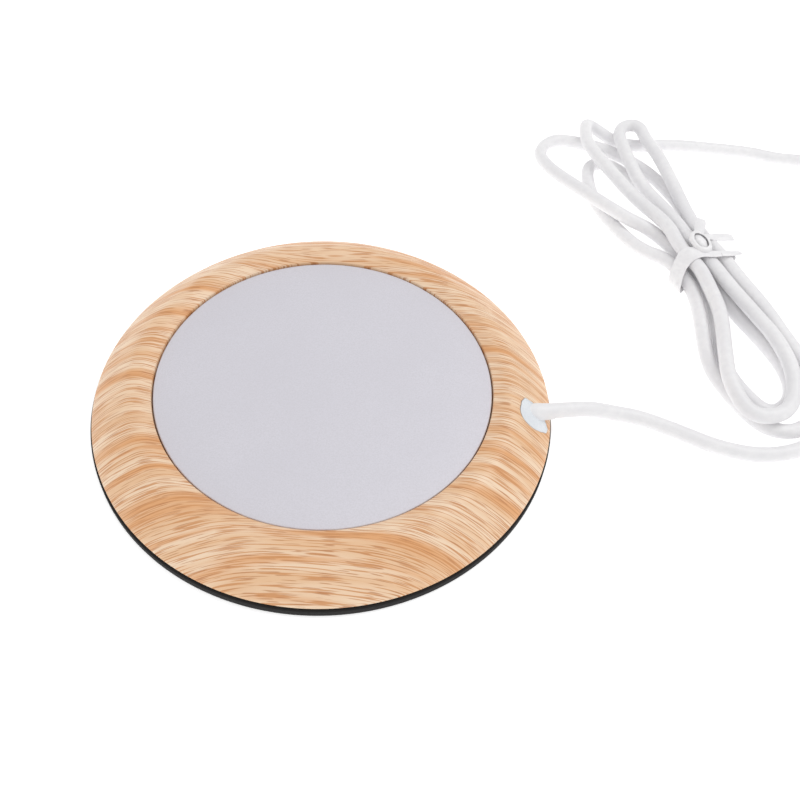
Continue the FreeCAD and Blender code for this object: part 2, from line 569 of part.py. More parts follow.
print(f"cord: length in all {lead_wire.Length + hank_wire.Length + tail_wire.Length:.0f} mm")

# Tie round the hank: a thin band, a knot on top and two flat ends
tie_span = 3 * size("strand_pitch") + size("cord_diameter") + 2 * size("tie_side")
tie_rise = size("layer_rise") + size("cord_diameter") + 2 * size("tie_lift")
band = size("tie_thickness")
tie_top = tie_rise + 2 * band


def rounded_slab(length, width, height, radius, base):
    """A box round the tie's middle whose long edges are rounded."""
    slab = Part.makeBox(length, width, height, Vector(-length / 2, -width / 2, base))
    along = [e for e in slab.Edges if abs(e.tangentAt(e.FirstParameter).y) > 0.99]
    return slab.makeFillet(radius, along)


tie_width = size("tie_width")
bore_round = size("cord_diameter") / 2
tie_shape = rounded_slab(tie_span + 2 * band, tie_width, tie_top, bore_round + band, 0)
tie_shape = tie_shape.cut(rounded_slab(tie_span, 2 * tie_width, tie_rise, bore_round, band))
end_width = size("tie_end_width")
knot_base = tie_top - band / 2
tie_shape = tie_shape.fuse(Part.makeCone(end_width * 0.7, end_width * 0.45, end_width * 0.6,
                                         Vector(0, 0, knot_base)))
for turn in (-16, -52):
    tie_end = Part.makeBox(size("tie_end_length"), end_width, band, Vector(0, -end_width / 2, knot_base + band))
    tie_end.rotate(Vector(), Vector(0, 0, 1), turn)
    tie_shape = tie_shape.fuse(tie_end)
tie_stub = Part.makeBox(band, end_width, 1.6 * end_width, Vector(-band / 2, -end_width / 2, tie_top))
tie_stub.rotate(Vector(0, 0, tie_top), Vector(0, 0, 1), 40)
tie_shape = tie_shape.fuse(tie_stub)
cord_tie = solid("cord_tie", tie_shape)
cord_tie.Placement = Placement(TIE, Rotation(Vector(1, 0, 0), ACROSS))

# Wires inside: two cores of the cord, and the link from the thermostat to the heater
wire = size("wire_radius")
low_run = (size("cover_top") + size("clamp_bottom")) / 2
under_pads = size("track_bottom") - size("terminal_height") - wire
on_strip = size("strip_top") + wire
sideways = Vector(-LEAVING.y, LEAVING.x, 0)
core_starts = [seat + sideways * (side * size("core_offset")) for side in (-1, 1)]
half_length = size("case_length") / 2
strip_middle = half_length + size("strip_reach") / 2
outer_pad = Vector(terminal_x, -(size("track_cut") + size("terminal_side")) / 2, 0)
inner_pad = Vector(TERMINALS[0][0], -outer_pad.y, 0)
wall_inside = size("wall_outer") + 2 * wire
slack = size("wire_slack")
past_case = size("case_width") / 2 + 3 * wire
film = size("film_radius")


def bends(*points):
    return [Vector(*point) for point in points]


live_points = [core_starts[0], core_starts[0] - LEAVING * 6 * wire] + bends(
    (wall_inside, outer_pad.y - slack / 2, low_run), (film + 5 * slack, outer_pad.y - slack, low_run),
    (film + slack, outer_pad.y - slack, low_run), (outer_pad.x + 2 * wire, outer_pad.y, under_pads),
    (outer_pad.x - 2 * wire, outer_pad.y, under_pads))
return_points = [core_starts[1], core_starts[1] - LEAVING * 6 * wire] + bends(
    (wall_inside, -2 * slack, low_run), (film, -slack, low_run), (film * 0.66, slack / 3, low_run),
    (film * 0.42, slack / 4, low_run + slack / 2), (strip_middle + 4 * wire, 0, on_strip),
    (strip_middle - wire, 0, on_strip))
link_points = bends(
    (-strip_middle + wire, -wire, on_strip), (-strip_middle, 2 * slack, on_strip),
    (-half_length - wire, past_case, on_strip), (-half_length / 2, past_case + 2 * slack, on_strip),
    (half_length / 2, past_case + 3 * slack, on_strip),
    (size("window_radius") - wire, inner_pad.y + slack, under_pads),
    (inner_pad.x + 2 * wire, inner_pad.y, under_pads))
live_wire = solid("live_wire", tube(live_points, wire, "live wire")[0])
return_wire = solid("return_wire", tube(return_points, wire, "return wire")[0])
link_wire = solid("link_wire", tube(link_points, wire, "link wire")[0])
core_bores = []
for number, start in enumerate(core_starts):
    core_bore = doc.addObject("Part::Cylinder", f"core_bore_{number}")
    bind(core_bore, Radius="dim.wire_radius + dim.slip", Height="4 * dim.seat_depth")
    core_bore.Placement = Placement(start, Rotation(Vector(0, 0, 1), -LEAVING))
    core_bores.append(core_bore)
cord_grommet = cut("cord_grommet", collar_body, fuse("core_bores", *core_bores))

# Plug, built along +X from the cord's end and then turned onto the cord's heading
plug_place = Placement(PLUG_BACK, Rotation(Vector(1, 0, 0), PLUG_HEADING))


def on_plug(obj):
    obj.Placement = plug_place
    return obj


relief = doc.addObject("Part::Cone", "relief")
bind(relief, Radius1="dim.relief_tip", Radius2="dim.relief_radius", Height="dim.relief_length")
relief.Placement = Placement(Vector(), Rotation(Vector(0, 1, 0), 90))
grip_block = block("grip_block", "dim.grip_length", "dim.grip_width", "dim.grip_height",
                   "dim.relief_length", "0", "-dim.grip_height / 2")
doc.recompute()
grip = doc.addObject("Part::Fillet", "grip")
grip.Base = grip_block
grip.Edges = [(i + 1, size("grip_round"), size("grip_round")) for i in range(len(grip_block.Shape.Edges))]
shell_back = "dim.relief_length + dim.grip_length - dim.shell_seat"
grip_pocket = block("grip_pocket", "2 * dim.shell_seat", "dim.shell_width + 2 * dim.slip",
                    "dim.shell_height + 2 * dim.slip", shell_back, "0", "-dim.shell_height / 2 - dim.slip")
usb_grip = on_plug(cut("usb_grip", fuse("grip_with_relief", relief, grip), grip_pocket))
shell_full = "dim.shell_length + dim.shell_seat"
shell_outer = block("shell_outer", shell_full, "dim.shell_width", "dim.shell_height", shell_back, "0",
                    "-dim.shell_height / 2")
shell_hollow = block("shell_hollow", shell_full, "dim.shell_width - 2 * dim.shell_wall",
                     "dim.shell_height - 2 * dim.shell_wall", shell_back, "0",
                     "dim.shell_wall - dim.shell_height / 2")
usb_shell = on_plug(cut("usb_shell", shell_outer, shell_hollow))
tongue_base = "dim.shell_height / 2 - dim.shell_wall - dim.tongue_clearance - dim.tongue_height"
usb_tongue = on_plug(fuse("usb_tongue", block(
    "tongue_block", "dim.tongue_length + dim.shell_seat",
    "dim.shell_width - 2 * dim.shell_wall - 2 * dim.tongue_clearance", "dim.tongue_height",
    shell_back, "0", tongue_base), block(
    "tongue_root", "dim.shell_seat", "dim.shell_width - 2 * dim.shell_wall - 2 * dim.tongue_clearance",
    "dim.shell_height - 2 * dim.shell_wall - 2 * dim.tongue_clearance", shell_back, "0",
    "-dim.shell_height / 2 + dim.shell_wall + dim.tongue_clearance")))
pins = []
for k in range(4):
    pins.append(block(f"pin_{k}", "dim.pin_length", "dim.pin_width", "dim.pin_thickness",
                      f"{shell_back} + dim.shell_seat + 0.5", f"dim.pin_pitch * ({k} - 1.5)",
                      f"{tongue_base} - dim.pin_thickness"))
usb_contacts = on_plug(group("usb_contacts", *pins))
doc.recompute()

NODES = {
    "anti_slip_mat": mat_body, "base_cover": base_cover, "cover_screws": group("cover_screws", *cover_screws),
    "wood_ring": wood_ring, "heating_plate": heating_plate, "plate_gasket": plate_gasket,
    "heater_film": heater_film, "heater_track": heater_track, "heater_terminals": heater_terminals,
    "insulation_pad": insulation_pad, "clamp_plate": clamp_plate,
    "clamp_screws": group("clamp_screws", *clamp_screws), "thermostat_case": thermostat_case,
    "thermostat_base": thermostat_base, "moving_terminal": moving_terminal,
    "fixed_terminal": fixed_terminal, "bimetal_blade": bimetal_blade, "live_wire": live_wire,
    "return_wire": return_wire, "link_wire": link_wire, "cord_grommet": cord_grommet,
    "cord_lead": cord_lead, "cord_hank": cord_hank, "cord_tail": cord_tail, "cord_tie": cord_tie,
    "usb_grip": usb_grip, "usb_shell": usb_shell, "usb_tongue": usb_tongue, "usb_contacts": usb_contacts,
}
for node, obj in NODES.items():
    obj.Label = node
doc.recompute()

for obj in doc.Objects:
    for state in ("Invalid", "Error"):
        if state in obj.State:
            raise RuntimeError(f"{obj.Name} is {state}")
os.makedirs("parts", exist_ok=True)
for node, obj in NODES.items():
    shape = obj.Shape
    if shape.isNull() or not shape.isValid():
        raise RuntimeError(f"{node} has no valid shape")
    shape.exportStep(f"parts/{node}.step")
    print(f"{node}: {len(shape.Solids)} solids, {shape.Volume:.1f} mm3")
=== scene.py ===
import math

import bmesh
import bpy
from mathutils import Matrix, Vector


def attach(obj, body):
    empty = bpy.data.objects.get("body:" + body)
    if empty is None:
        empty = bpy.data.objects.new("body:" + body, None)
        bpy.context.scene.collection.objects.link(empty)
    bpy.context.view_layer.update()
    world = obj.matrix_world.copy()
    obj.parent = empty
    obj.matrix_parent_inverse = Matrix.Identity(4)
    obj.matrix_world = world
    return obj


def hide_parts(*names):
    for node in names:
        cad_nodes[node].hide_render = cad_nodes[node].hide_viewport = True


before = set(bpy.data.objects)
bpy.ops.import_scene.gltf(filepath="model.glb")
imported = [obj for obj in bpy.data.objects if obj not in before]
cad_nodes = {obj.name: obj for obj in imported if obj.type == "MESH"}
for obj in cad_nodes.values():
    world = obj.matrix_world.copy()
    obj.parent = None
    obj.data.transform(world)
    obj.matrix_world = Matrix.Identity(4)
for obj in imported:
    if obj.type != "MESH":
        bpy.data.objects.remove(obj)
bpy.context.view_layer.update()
MM = 0.001
BODY = "warmer"


# Camera, at the photograph's place and angle
EYE = (0.019081, -0.140789, 0.186425)
RIGHTWARD = (0.996652, 0.064694, 0.050001)
UPWARD = (-0.081765, 0.788574, 0.609479)
FORWARD = (0.0, 0.611527, -0.791224)
lens = bpy.data.cameras.new("camera")
lens.lens = 40.97
lens.sensor_width = 36.0
lens.clip_start = 0.01
camera = bpy.data.objects.new("camera", lens)
bpy.context.scene.collection.objects.link(camera)
turn = Matrix((RIGHTWARD, UPWARD, [-part for part in FORWARD])).transposed()
camera.matrix_world = Matrix.Translation(EYE) @ turn.to_4x4()
bpy.context.scene.camera = camera


# Shop tools: how a piece is started, picked, shaped and finished

def put_down():
    """Leaves edit mode and lets go of everything."""
    if bpy.context.object and bpy.context.object.mode != "OBJECT":
        bpy.ops.object.mode_set(mode="OBJECT")
    bpy.ops.object.select_all(action="DESELECT")


def take(piece):
    put_down()
    piece.select_set(True)
    bpy.context.view_layer.objects.active = piece
    return piece


def started(name):
    """The primitive that was just added, under its own name and with its place in its mesh."""
    piece = bpy.context.object
    piece.name = name
    piece.data.name = name
    take(piece)
    bpy.ops.object.transform_apply(location=True, rotation=True, scale=True)
    return piece


def pick(piece, kind, wanted):
    """Selects the faces whose middle and normal pass the test, or the edges whose ends both do."""
    if piece.mode != "EDIT":
        take(piece)
        bpy.ops.object.mode_set(mode="EDIT")
    bpy.ops.mesh.select_mode(type=kind)
    bpy.ops.mesh.select_all(action="DESELECT")
    mesh = bmesh.from_edit_mesh(piece.data)
    if kind == "EDGE":
        for edge in mesh.edges:
            ends = [corner.co for corner in edge.verts]
            edge.select_set(all(wanted(end) for end in ends))
    else:
        for face in mesh.faces:
            face.select_set(bool(wanted(face.calc_center_median(), face.normal)))
    mesh.select_flush_mode()
    bmesh.update_edit_mesh(piece.data)


def close_up(piece):
    """Merges doubled corners and turns every face outwards."""
    if piece.mode != "EDIT":
        take(piece)
        bpy.ops.object.mode_set(mode="EDIT")
    bpy.ops.mesh.select_mode(type="VERT")
    bpy.ops.mesh.select_all(action="SELECT")
    bpy.ops.mesh.remove_doubles(threshold=0.000002)
    bpy.ops.mesh.normals_make_consistent(inside=False)
    bpy.ops.object.mode_set(mode="OBJECT")
    return piece


def modify(piece, kind, **settings):
    """Adds one modifier and applies it."""
    take(piece)
    made = piece.modifiers.new(kind.lower(), kind)
    for option, value in settings.items():
        setattr(made, option, value)
    bpy.ops.object.modifier_apply(modifier=made.name)
    return piece


def smooth(piece, degrees=35.0):
    take(piece)
    bpy.ops.object.shade_smooth_by_angle(angle=math.radians(degrees))
    return piece


def turned(name, profile, segments=192):
    """A turned piece: a circle at the profile's first point, pulled on from point to point (mm)."""
    first_radius, first_height = profile[0]
    bpy.ops.object.select_all(action="DESELECT")
    bpy.ops.mesh.primitive_circle_add(vertices=segments, radius=first_radius * MM,
                                      location=(0, 0, first_height * MM))
    piece = started(name)
    bpy.ops.object.mode_set(mode="EDIT")
    bpy.ops.mesh.select_all(action="SELECT")
    radius, height = first_radius, first_height
    for next_radius, next_height in profile[1:]:
        bpy.ops.mesh.extrude_region_move(
            TRANSFORM_OT_translate={"value": (0, 0, (next_height - height) * MM)})
        if next_radius == 0:
            bpy.ops.mesh.merge(type="CENTER")
            break
        scale = next_radius / radius
        bpy.ops.transform.resize(value=(scale, scale, 1), center_override=(0, 0, 0))
        radius, height = next_radius, next_height
    return close_up(piece)


def cap_ends(piece):
    """Closes each open round edge with a face."""
    take(piece)
    bpy.ops.object.mode_set(mode="EDIT")
    bpy.ops.mesh.select_mode(type="EDGE")
    bpy.ops.mesh.select_all(action="DESELECT")
    bpy.ops.mesh.select_non_manifold()
    bpy.ops.mesh.edge_face_add()
    return close_up(piece)


def round_off(piece, on_edge, radius, steps):
    """Bevels the edges whose ends pass the test (radius in mm)."""
    pick(piece, "EDGE", on_edge)
    bpy.ops.mesh.bevel(offset=radius * MM, segments=steps, profile=0.5, affect="EDGES")
    return close_up(piece)


def carve(piece, cutter):
    """Takes the cutter's shape out of the piece and throws the cutter away."""
    modify(piece, "BOOLEAN", operation="DIFFERENCE", solver="EXACT", object=cutter)
    bpy.data.objects.remove(cutter)
    return close_up(piece)


def joined(pieces):
    take(pieces[0])
    for other in pieces[1:]:
        other.select_set(True)
    bpy.ops.object.join()
    return pieces[0]


def stand(piece, place, axis):
    """Stands a piece that was made upright at the origin on its place and axis."""
    piece.matrix_world = Matrix.Translation(place) @ Vector(axis).to_track_quat("Z", "Y").to_matrix().to_4x4()
    take(piece)
    bpy.ops.object.transform_apply(location=True, rotation=True, scale=True)
    return piece


def fitted(piece, material, slot, *nodes):
    """Dresses a finished piece and puts it on the housing's body in its nodes' stead."""
    piece.data.materials.clear()
    piece.data.materials.append(material)
    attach(piece, BODY)
    if nodes:
        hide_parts(*nodes)
    return piece


# Finishes

def hex_colour(text):
    """An sRGB hex colour as the linear one that the shader takes."""
    shades = [int(text[i:i + 2], 16) / 255 for i in (1, 3, 5)]
    return tuple(s / 12.92 if s <= 0.04045 else ((s + 0.055) / 1.055) ** 2.4 for s in shades) + (1.0,)


def add(tree, kind, inputs=(), **settings):
    """Adds one node. The settings are its own, and the inputs are values or what feeds them."""
    made = tree.nodes.new("ShaderNode" + kind)
    for option, value in settings.items():
        setattr(made, option, value)
    for socket, value in dict(inputs).items():
        if isinstance(value, bpy.types.NodeSocket):
            tree.links.new(value, made.inputs[socket])
        else:
            made.inputs[socket].default_value = value
    return made


def blank(name, roughness, metallic=0.0, **sockets):
    """An empty finish: its tree, its shader and its Object coordinates."""
    material = bpy.data.materials.new(name)
    material.use_nodes = True
    tree = material.node_tree
    shader = tree.nodes["Principled BSDF"]
    shader.inputs["Roughness"].default_value = roughness
    shader.inputs["Metallic"].default_value = metallic
    for socket, value in sockets.items():
        shader.inputs[socket.replace("_", " ")].default_value = value
    place = add(tree, "TexCoord").outputs["Object"]
    return material, tree, shader, place


def grain_noise(tree, place, pitch, detail=2.0, roughness=0.5):
    """Noise with one pitch in mm, or with a pitch for each axis."""
    steps = pitch if isinstance(pitch, tuple) else (pitch, pitch, pitch)
    scaled = add(tree, "Mapping", {"Vector": place, "Scale": [1 / (step * MM) for step in steps]})
    return add(tree, "TexNoise", {"Vector": scaled.outputs[0], "Scale": 1.0, "Detail": detail,
                                  "Roughness": roughness}).outputs[0]


def ramp(tree, value, low, high, to_low=0.0, to_high=1.0):
    return add(tree, "MapRange", {"Value": value, "From Min": low, "From Max": high,
                                  "To Min": to_low, "To Max": to_high}).outputs[0]


def blended(tree, amount, one, other):
    """A colour between two others."""
    return add(tree, "Mix", {0: amount, 6: one, 7: other}, data_type="RGBA").outputs[2]


def relief_of(tree, shader, height, depth, strength=1.0):
    """Bump of a real depth in mm."""
    bump = add(tree, "Bump", {"Height": height, "Distance": depth * MM, "Strength": strength})
    tree.links.new(bump.outputs[0], shader.inputs["Normal"])


GRAIN_ARCH = 2.2                       # rise of the printed grain over the square of its X, per metre
LONG_STROKE, SHORT_STROKE = (10.0, 0.27, 1), (5.5, 0.24, 1)   # pitch along the grain and across it, mm
LONG_STRENGTH, SHORT_STRENGTH = 0.85, 0.7


def wood_film_finish():
    # ABS housing with a printed light-wood film laid on from above, satin clear coat.
    # The print arches gently across, and it climbs one side of the slope and falls down the other.
    # Crisp orange strokes 5 to 12 mm long, under 1 mm apart, over peach and cream with orange bands.
    material, tree, shader, place = blank("printed_light_wood_film", 0.46, IOR=1.5)
    flat = add(tree, "Mapping", {"Vector": place, "Scale": (1.0, 1.0, 0.0)}).outputs[0]
    drift = add(tree, "VectorMath", {0: add(tree, "TexNoise", {"Vector": flat, "Scale": 15.0, "Detail": 1.0})
                                     .outputs[1], 1: (0.5, 0.5, 0.5)}, operation="SUBTRACT").outputs[0]
    pulled = add(tree, "VectorMath", {0: drift, 1: (0.0, 0.014, 0.0)}, operation="MULTIPLY").outputs[0]
    squared = add(tree, "VectorMath", {0: flat, 1: flat}, operation="MULTIPLY").outputs[0]
    arch = add(tree, "VectorMath", {0: squared, 1: (GRAIN_ARCH, 0.0, 0.0)},
               operation="DOT_PRODUCT").outputs[1]
    arched = add(tree, "CombineXYZ", {"Y": arch}).outputs[0]
    bent = add(tree, "VectorMath", {0: flat, 1: arched}, operation="ADD").outputs[0]
    print_place = add(tree, "VectorMath", {0: bent, 1: pulled}, operation="ADD").outputs[0]
    peach_zones = ramp(tree, grain_noise(tree, print_place, (46, 3.4, 1), 1.0), 0.38, 0.62)
    bands = ramp(tree, grain_noise(tree, print_place, (60, 3.2, 1), 1.0), 0.52, 0.68)
    long_noise = grain_noise(tree, print_place, LONG_STROKE, 0.0, 0.5)
    pushed = add(tree, "Math", {0: bands, 1: 0.05, 2: long_noise}, operation="MULTIPLY_ADD").outputs[0]
    long_mask = ramp(tree, pushed, 0.56, 0.64)
    moved = add(tree, "Mapping", {"Vector": print_place, "Location": (0.31, 0.17, 0.0)}).outputs[0]
    short_mask = ramp(tree, grain_noise(tree, moved, SHORT_STROKE, 0.0, 0.5), 0.62, 0.70)
    cream = blended(tree, peach_zones, hex_colour("#f4d8ba"), hex_colour("#eac097"))
    toned = blended(tree, bands, cream, hex_colour("#e3a873"))
    long_ink = add(tree, "Math", {0: long_mask, 1: LONG_STRENGTH}, operation="MULTIPLY").outputs[0]
    short_ink = add(tree, "Math", {0: short_mask, 1: SHORT_STRENGTH}, operation="MULTIPLY").outputs[0]
    lined = blended(tree, long_ink, toned, hex_colour("#d0905a"))
    coloured = blended(tree, short_ink, lined, hex_colour("#bc7c4c"))
    tree.links.new(coloured, shader.inputs["Base Color"])
    tree.links.new(ramp(tree, long_mask, 0.0, 1.0, 0.43, 0.52), shader.inputs["Roughness"])
    relief_of(tree, shader, long_mask, 0.02, 0.4)
    return material


def plate_finish():
    # Aluminium disc, bead-blasted and clear anodised: matte, cool grey, a very fine even sparkle.
    material, tree, shader, place = blank("blasted_anodised_aluminium", 0.6, 0.2)
    beads = grain_noise(tree, place, 0.35, 2.0)
    cloud = grain_noise(tree, place, 14.0, 2.0)
    tone = blended(tree, ramp(tree, cloud, 0.3, 0.7), hex_colour("#d7d5dd"), hex_colour("#dad8e0"))
    tree.links.new(blended(tree, ramp(tree, beads, 0.35, 0.7), tone, hex_colour("#d3d1d8")),
                   shader.inputs["Base Color"])
    tree.links.new(ramp(tree, beads, 0.3, 0.7, 0.5, 0.62), shader.inputs["Roughness"])
    relief_of(tree, shader, beads, 0.01, 0.4)
    return material


def speckled(name, colour, shade, pitch, roughness, depth, metallic=0.0, **sockets):
    """A plain material with its own small mottle, matt spots and surface relief."""
    material, tree, shader, place = blank(name, roughness, metallic, **sockets)
    mottle = grain_noise(tree, place, pitch, 3.0)
    wide = tuple(9 * step for step in pitch) if isinstance(pitch, tuple) else 9 * pitch
    cloud = grain_noise(tree, place, wide)
    mixed = add(tree, "Math", {0: mottle, 1: cloud}, operation="MULTIPLY").outputs[0]
    tree.links.new(blended(tree, ramp(tree, mixed, 0.12, 0.38), hex_colour(shade), hex_colour(colour)),
                   shader.inputs["Base Color"])
    tree.links.new(ramp(tree, mottle, 0.3, 0.7, roughness - 0.05, roughness + 0.06),
                   shader.inputs["Roughness"])
    relief_of(tree, shader, mottle, depth)
    return material


WOOD_FILM = wood_film_finish()
PLATE = plate_finish()
# Black closed-cell foam rubber, skived: fine pores, no shine
MAT_RUBBER = speckled("black_foam_rubber", "#171413", "#0b0909", 0.5, 0.82, 0.05)
# Moulded ABS, spark-textured and black: soft grey glint on its grain
COVER_ABS = speckled("black_moulded_abs", "#232122", "#171516", 0.4, 0.55, 0.02, IOR=1.54)
# Zinc-plated steel, bright with a faint blue-yellow cast
ZINC = speckled("zinc_plated_steel", "#c9cbcc", "#a9acad", 0.6, 0.34, 0.004, 1.0)
# Silicone rubber, light grey, moulded smooth
SEAL = speckled("moulded_silicone_seal", "#b9b6b2", "#a6a29e", 0.8, 0.5, 0.01, IOR=1.41)
# Polyimide film, amber and glossy
POLYIMIDE = speckled("amber_polyimide_film", "#c98a2c", "#a9691c", 1.4, 0.26, 0.006, IOR=1.7)
# Etched resistance foil, dull silver with a rolled grain along X
TRACK = speckled("etched_resistance_foil", "#b7b2aa", "#8f8a84", (2.5, 0.25, 0.25), 0.38, 0.004, 1.0)
# Tin solder, frosty where it cooled
SOLDER = speckled("tin_solder", "#c4c6c8", "#9fa2a5", 0.5, 0.3, 0.03, 1.0)
# Needled glass-fibre felt, off-white with tangled fibres
FELT = speckled("needled_glass_felt", "#e6e0d2", "#bfb7a4", (1.6, 0.35, 0.35), 0.9, 0.12)
# Phenolic moulding, dark brown with fine filler specks
PHENOLIC = speckled("brown_phenolic_moulding", "#4a2d1e", "#2f1b12", 0.35, 0.42, 0.01, IOR=1.6)
# Brass strip, rolled along X
BRASS = speckled("rolled_brass_strip", "#d0a860", "#a9823f", (2.0, 0.2, 0.2), 0.3, 0.003, 1.0)
# Thermostat bimetal, dull nickel-grey strip rolled along X
BIMETAL = speckled("rolled_bimetal_strip", "#aeb0ae", "#84878a", (2.0, 0.2, 0.2), 0.36, 0.003, 1.0)
# Drawn PVC insulation in red and in black, soft sheen
RED_PVC = speckled("red_pvc_insulation", "#a82a25", "#8c1f1c", 0.7, 0.42, 0.01, IOR=1.53)
BLACK_PVC = speckled("black_pvc_insulation", "#26262a", "#18181b", 0.7, 0.42, 0.01, IOR=1.53)
# Soft PVC moulding, cool light grey with a fine matte texture
COLLAR_PVC = speckled("cool_grey_pvc_moulding", "#e6eaee", "#dbe0e6", 0.45, 0.5, 0.02, IOR=1.53)
# Extruded white PVC jacket: satin, barely wavy along its length
CORD_PVC = speckled("white_extruded_pvc", "#f1f0f1", "#e9e8ea", 1.6, 0.42, 0.015, IOR=1.53)
# Thin milky polyethylene film, crumpled where it is knotted
TIE_FILM = speckled("milky_polyethylene_film", "#f6f5f6", "#ebeaec", 1.1, 0.36, 0.12, IOR=1.51)
# Nickel-plated steel tube of the plug, bright, drawn lengthwise
NICKEL = speckled("nickel_plated_steel", "#d3d0ca", "#b5b2ac", (2.5, 0.3, 0.3), 0.24, 0.002, 1.0)
# White glass-filled nylon of the plug's tongue
NYLON = speckled("white_glass_filled_nylon", "#eeece6", "#e0ddd6", 0.3, 0.48, 0.01, IOR=1.53)
# Gold flash on the plug's contacts
GOLD = speckled("gold_flashed_contacts", "#e6bf6a", "#c99d48", (1.5, 0.2, 0.2), 0.22, 0.002, 1.0)


# Cord: one line from the collar through the tied hank to the plug. The points are the CAD route's own.
LEAD = [(0.051132, -0.0022742, 0.0063), (0.0605, -0.0004, 0.0063), (0.067, 0.0014, 0.00535),
        (0.074, 0.0026, 0.0028), (0.081, 0.0024, 0.002), (0.0905, -0.0012, 0.002),
        (0.1, -0.0054, 0.0021), (0.111, -0.0068, 0.0021), (0.122, -0.0036, 0.0021),
        (0.1305, 0.0035, 0.0021)]
FIRST_STRAND = [(0.1325, 0.0145, 0.002), (0.1285, 0.027, 0.002), (0.1221, 0.0381, 0.002),
                (0.1156, 0.0486, 0.002)]
PASS_1 = [(0.1113, 0.06, 0.0026), (0.1063, 0.0687, 0.0026)]
FAR_LOOP = [(0.1046, 0.079, 0.002), (0.0996, 0.0927, 0.0021), (0.0915, 0.105, 0.0021),
            (0.0804, 0.1131, 0.002), (0.072, 0.1148, 0.0024), (0.0631, 0.1168, 0.002),
            (0.0574, 0.1091, 0.0021), (0.0597, 0.1004, 0.0033), (0.0654, 0.0911, 0.0054),
            (0.0719, 0.083, 0.007), (0.0822, 0.0746, 0.0064), (0.0904, 0.0731, 0.0038)]
PASS_2 = [(0.0986, 0.0642, 0.0026), (0.1036, 0.0555, 0.0026)]
INNER_BEND = [(0.1056, 0.0451, 0.002), (0.1053, 0.0338, 0.002), (0.1051, 0.0234, 0.002),
              (0.1083, 0.0141, 0.0022), (0.1147, 0.0062, 0.002), (0.1218, 0.0116, 0.0025),
              (0.1223, 0.022, 0.0023), (0.1167, 0.0335, 0.0024), (0.1109, 0.0436, 0.002)]
PASS_3 = [(0.1074, 0.0578, 0.0026), (0.1024, 0.0665, 0.0026)]
SHORT_LOOP = [(0.0996, 0.0769, 0.0021), (0.0934, 0.0888, 0.0022), (0.086, 0.0998, 0.0023),
              (0.0795, 0.1057, 0.0021), (0.0746, 0.1046, 0.002), (0.0727, 0.0989, 0.0026),
              (0.0736, 0.0894, 0.002), (0.0777, 0.0785, 0.002), (0.0864, 0.0658, 0.002)]
PASS_4 = [(0.0947, 0.062, 0.0026), (0.0997, 0.0533, 0.0026)]
OUTER_BEND = [(0.101, 0.0428, 0.0031), (0.1006, 0.0317, 0.0033), (0.1009, 0.0204, 0.0028),
              (0.1053, 0.0104, 0.0031), (0.1127, 0.0017, 0.0021), (0.1215, 0.001, 0.0029),
              (0.1276, 0.0075, 0.0058), (0.1274, 0.0179, 0.0062), (0.1233, 0.0291, 0.0054),
              (0.1186, 0.041, 0.0063), (0.1136, 0.0507, 0.0065)]
PASS_5 = [(0.1096, 0.059, 0.0071), (0.1046, 0.0677, 0.0071)]
RIGHT_LOOP = [(0.1018, 0.0775, 0.006), (0.0987, 0.092, 0.0066), (0.0949, 0.1054, 0.0076),
              (0.0924, 0.1139, 0.0064), (0.0907, 0.1207, 0.0071), (0.0857, 0.1211, 0.0062),
              (0.0831, 0.115, 0.0069), (0.0851, 0.103, 0.0073), (0.0884, 0.0907, 0.0061),
              (0.097, 0.0772, 0.0058)]
PASS_6 = [(0.1007, 0.0654, 0.0071), (0.1057, 0.0568, 0.0071)]
UPPER_BEND = [(0.109, 0.0497, 0.0067), (0.1138, 0.0395, 0.0071), (0.1194, 0.0282, 0.0074),
              (0.1217, 0.0162, 0.0071), (0.1182, 0.0039, 0.0068), (0.1078, 0.0014, 0.0068),
              (0.1033, 0.0117, 0.0077), (0.1043, 0.0245, 0.0071), (0.1055, 0.0378, 0.0066),
              (0.1036, 0.048, 0.0066)]
PASS_7 = [(0.1018, 0.0545, 0.0071), (0.0968, 0.0632, 0.0071)]
LEFT_LOOP = [(0.0942, 0.0712, 0.0081), (0.0862, 0.083, 0.0066), (0.078, 0.0964, 0.0077),
             (0.0727, 0.1074, 0.0075), (0.0723, 0.1155, 0.007), (0.0735, 0.1222, 0.0052),
             (0.0781, 0.1226, 0.0024), (0.0839, 0.1169, 0.002)]
TAIL = [(0.0919, 0.1161, 0.0021), (0.1024, 0.1184, 0.0021), (0.1165, 0.1183, 0.002),
        (0.1289, 0.1175, 0.0022), (0.137, 0.115, 0.0024), (0.144, 0.11314, 0.0038),
        (0.151, 0.113, 0.0038)]
CORD_ROUTE = (LEAD + FIRST_STRAND + PASS_1 + FAR_LOOP + PASS_2 + INNER_BEND + PASS_3 + SHORT_LOOP + PASS_4
              + OUTER_BEND + PASS_5 + RIGHT_LOOP + PASS_6 + UPPER_BEND + PASS_7 + LEFT_LOOP + TAIL)
CORD_DIAMETER = 0.004

line = bpy.data.curves.new("cord", "CURVE")
line.dimensions = "3D"
spline = line.splines.new("NURBS")
spline.points.add(len(CORD_ROUTE) - 1)
for point, place in zip(spline.points, CORD_ROUTE):
    point.co = (*place, 1.0)
spline.order_u = 3
spline.use_endpoint_u = True
spline.resolution_u = 10
line.bevel_depth = CORD_DIAMETER / 2
line.bevel_resolution = 6
line.use_fill_caps = True
cord = bpy.data.objects.new("cord", line)
bpy.context.scene.collection.objects.link(cord)
fitted(cord, CORD_PVC, "white_pvc", "cord_lead", "cord_hank", "cord_tail")


